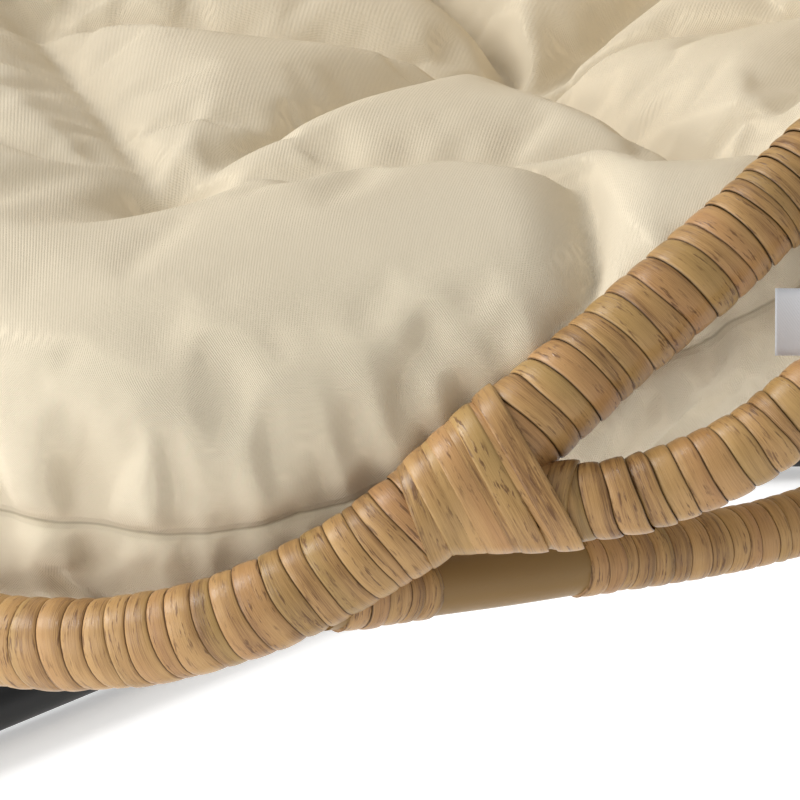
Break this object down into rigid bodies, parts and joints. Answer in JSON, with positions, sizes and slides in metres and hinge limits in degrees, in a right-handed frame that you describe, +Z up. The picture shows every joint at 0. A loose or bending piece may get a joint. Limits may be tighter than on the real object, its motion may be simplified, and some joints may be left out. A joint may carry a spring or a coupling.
{
  "type": "hanging egg chair",
  "caption": "Hanging egg chair: wicker-wound steel basket with a tufted nest cushion, hung by a spring and swivel from a curved pole on a steel base.",
  "frame": {"origin": "on the floor, at the centre of the whole chair's bounding box", "axes": "+Z up, the sitter faces -Y, the pole stands at +Y, +X is to the right of someone who looks at the chair from the front"},
  "size_m": [0.994, 1.3116, 1.9401],
  "materials": {
    "black_steel": "satin",
    "spring_steel": "satin",
    "tan_steel": "satin",
    "zinc_steel": "satin",
    "wicker": "satin",
    "cushion_fabric": "matte",
    "label_fabric": "matte",
    "black_plastic": "matte"
  },
  "bodies": {
    "stand": {"arm_end_cap": "black_plastic", "base_bolt_back_left": "zinc_steel", "base_bolt_back_right": "zinc_steel", "base_bolt_front_left": "zinc_steel", "base_bolt_front_right": "zinc_steel", "base_frame_left": "black_steel", "base_frame_right": "black_steel", "eye_bolt": "zinc_steel", "eye_nut": "zinc_steel", "foot_pad_back_left": "black_plastic", "foot_pad_back_right": "black_plastic", "foot_pad_front_left": "black_plastic", "foot_pad_front_right": "black_plastic", "front_coupler": "black_steel", "pole_clamp_bolt": "zinc_steel", "pole_foot": "black_steel", "pole_joint_bolt": "zinc_steel", "pole_lower": "black_steel", "pole_upper": "black_steel"},
    "upper_link": {"snap_hook_top": "zinc_steel", "drawbar_upper": "zinc_steel", "coil_spring": "spring_steel"},
    "top_gate": {"snap_gate_top": "zinc_steel"},
    "lower_link": {"drawbar_lower": "zinc_steel"},
    "swivel": {"swivel_eye": "zinc_steel"},
    "basket": {"back_hoop": "tan_steel", "back_rib_left_1": "tan_steel", "back_rib_left_2": "tan_steel", "back_rib_left_3": "tan_steel", "back_rib_middle": "tan_steel", "back_rib_right_1": "tan_steel", "back_rib_right_2": "tan_steel", "back_rib_right_3": "tan_steel", "belt_tube": "tan_steel", "belt_winding": "wicker", "care_label": "label_fabric", "crown_staple": "tan_steel", "cushion": "cushion_fabric", "rim_tube": "tan_steel", "rim_winding_front_left": "wicker", "rim_winding_front_right": "wicker", "rim_winding_joint_left": "wicker", "rim_winding_joint_right": "wicker", "rim_winding_upper_left": "wicker", "rim_winding_upper_right": "wicker", "ring_end_winding_left": "wicker", "ring_end_winding_right": "wicker", "seat_ring_tube": "tan_steel", "seat_ring_winding": "wicker", "seat_slat_1": "tan_steel", "seat_slat_2": "tan_steel", "seat_slat_3": "tan_steel", "seat_slat_4": "tan_steel", "seat_slat_5": "tan_steel", "snap_hook_low": "zinc_steel"},
    "low_gate": {"snap_gate_low": "zinc_steel"}
  },
  "joints": [
    {"name": "swing_fore_aft", "type": "hinge", "parent": "stand", "child": "upper_link", "pos_m": [0, -0.19923, 1.855], "axis": [1, 0, 0], "range_deg": [-12, 12]},
    {"name": "top_gate_hinge", "type": "hinge", "parent": "upper_link", "child": "top_gate", "pos_m": [0.014, -0.19923, 1.7959], "axis": [0, -1, 0], "range_deg": [0, 22], "stiffness_Nm_per_rad": 0.08, "springref_deg": -17.19},
    {"name": "spring_stretch", "type": "slide", "parent": "upper_link", "child": "lower_link", "axis": [0, 0, -1], "range_m": [0, 0.025], "stiffness_N_per_m": 24000, "springref_m": -0.015, "deforming": ["coil_spring"]},
    {"name": "swing_side", "type": "hinge", "parent": "lower_link", "child": "swivel", "pos_m": [0, -0.19923, 1.633], "axis": [0, 1, 0], "range_deg": [-8, 8]},
    {"name": "basket_turn", "type": "hinge", "parent": "swivel", "child": "basket", "pos_m": [0, -0.19923, 1.5974], "axis": [0, 0, 1], "continuous": true},
    {"name": "low_gate_hinge", "type": "hinge", "parent": "basket", "child": "low_gate", "pos_m": [0.014, -0.19923, 1.5244], "axis": [0, -1, 0], "range_deg": [0, 22], "stiffness_Nm_per_rad": 0.08, "springref_deg": -17.19}
  ]
}
